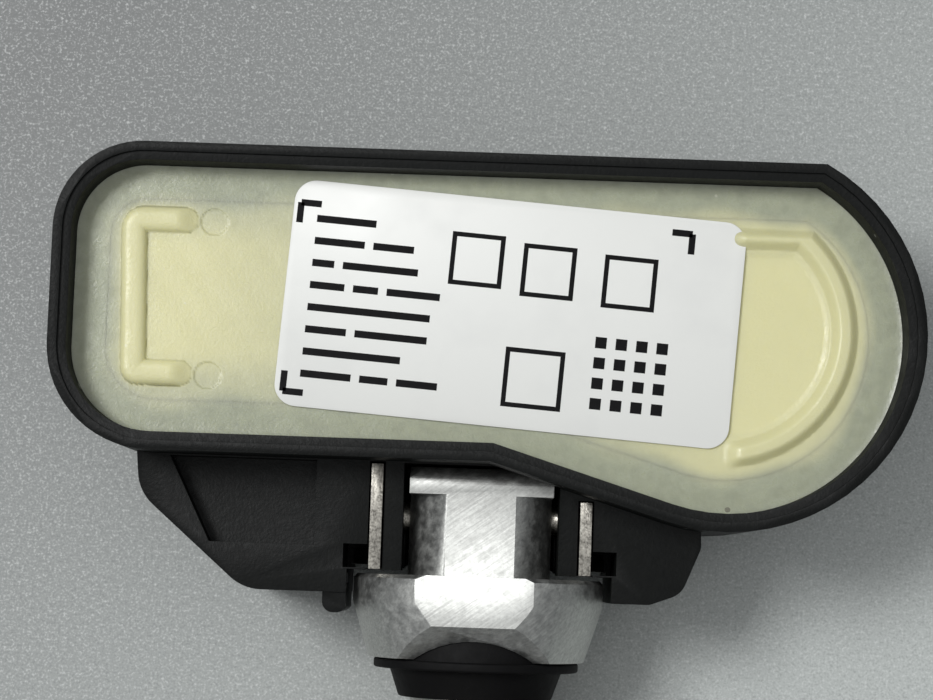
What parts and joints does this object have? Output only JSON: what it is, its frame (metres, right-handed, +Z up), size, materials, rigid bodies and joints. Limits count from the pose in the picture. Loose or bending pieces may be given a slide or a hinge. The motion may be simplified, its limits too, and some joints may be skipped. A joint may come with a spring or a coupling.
{
  "type": "wheel pressure sensor",
  "caption": "Wheel-mounted tyre pressure sensor: an open-topped potted housing with its electronics, and a tilting clamp-in valve stem held by a sprung clip.",
  "frame": {"origin": "on the flat base, below the stem's axis and on the centreline of the housing's straight part", "axes": "+Z up out of the open top, the valve stem points to -Y, +X towards the round end"},
  "size_m": [0.055, 0.0664, 0.017],
  "materials": {
    "black_plastic": "fine moulded grain, satin",
    "potting_resin": "cloudy clear resin",
    "cream_plastic": "satin, slightly mottled",
    "label_film": "smooth white film",
    "stem_aluminium": "machined, tumbled",
    "spring_steel": "sheared edges, brushed faces",
    "black_rubber": "matt",
    "nickel_plate": "bright nickel plate",
    "brass": "turned",
    "board_green": "solder mask",
    "ferrite": "sintered",
    "copper_wire": "drawn copper",
    "chip_ceramic": "fired ceramic",
    "chip_black": "moulded",
    "filter_membrane": "porous film"
  },
  "bodies": {
    "housing": {"housing": "black_plastic", "potting_ring": "potting_resin", "cover_plate": "cream_plastic", "label": "label_film", "stem_clip": "spring_steel", "circuit_board": "board_green", "cell_can": "nickel_plate", "cell_cap": "nickel_plate", "cell_grommet": "black_rubber", "positive_tab": "nickel_plate", "negative_tab": "nickel_plate", "sensor_chip": "chip_black", "port_gasket": "black_rubber", "port_filter": "filter_membrane", "lf_coil_core": "ferrite", "lf_coil_winding": "copper_wire", "antenna_loop": "copper_wire", "crystal": "nickel_plate", "inductor_1": "chip_black", "inductor_2": "chip_black", "capacitor_1": "chip_ceramic", "capacitor_2": "chip_ceramic", "capacitor_3": "chip_ceramic", "capacitor_4": "chip_ceramic", "resistor_1": "chip_black", "resistor_2": "chip_black", "resistor_3": "chip_black"},
    "stem": {"valve_stem": "stem_aluminium", "rim_seal": "black_rubber", "core_plug": "brass", "core_barrel": "brass", "core_seal_ring": "black_rubber", "core_spring": "spring_steel"},
    "washer": {"washer": "nickel_plate"},
    "nut": {"hex_nut": "nickel_plate"},
    "cap_seal": {"cap_gasket": "black_rubber"},
    "cap": {"valve_cap": "black_plastic"},
    "core_pin": {"core_pin": "brass", "core_cup": "black_rubber"}
  },
  "joints": [
    {"name": "stem_tilt", "type": "hinge", "parent": "housing", "child": "stem", "pos_m": [0, -0.0131, 0.0085], "axis": [1, 0, 0], "range_deg": [-2, 12]},
    {"name": "washer_slide", "type": "slide", "parent": "stem", "child": "washer", "axis": [0, -1, 0], "range_m": [-0.00119, 0.00714]},
    {"name": "nut_turn", "type": "hinge", "parent": "washer", "child": "nut", "pos_m": [0, -0.03, 0.0085], "axis": [0, -1, 0], "range_deg": [-540, 3240]},
    {"name": "cap_lift", "type": "slide", "parent": "stem", "child": "cap_seal", "axis": [0, -1, 0], "range_m": [0, 0.00793]},
    {"name": "cap_turn", "type": "hinge", "parent": "cap_seal", "child": "cap", "pos_m": [0, -0.05, 0.0085], "axis": [0, -1, 0], "range_deg": [0, 3600]},
    {"name": "core_press", "type": "slide", "parent": "stem", "child": "core_pin", "axis": [0, 1, 0], "range_m": [0, 0.0012], "stiffness_N_per_m": 200, "springref_m": -0.0005, "deforming": ["core_spring"]}
  ],
  "couplings": [
    {"joint": "nut_turn", "follows": "washer_slide", "rad_per_m": 7913.2},
    {"joint": "cap_turn", "follows": "cap_lift", "rad_per_m": 7913.2}
  ]
}
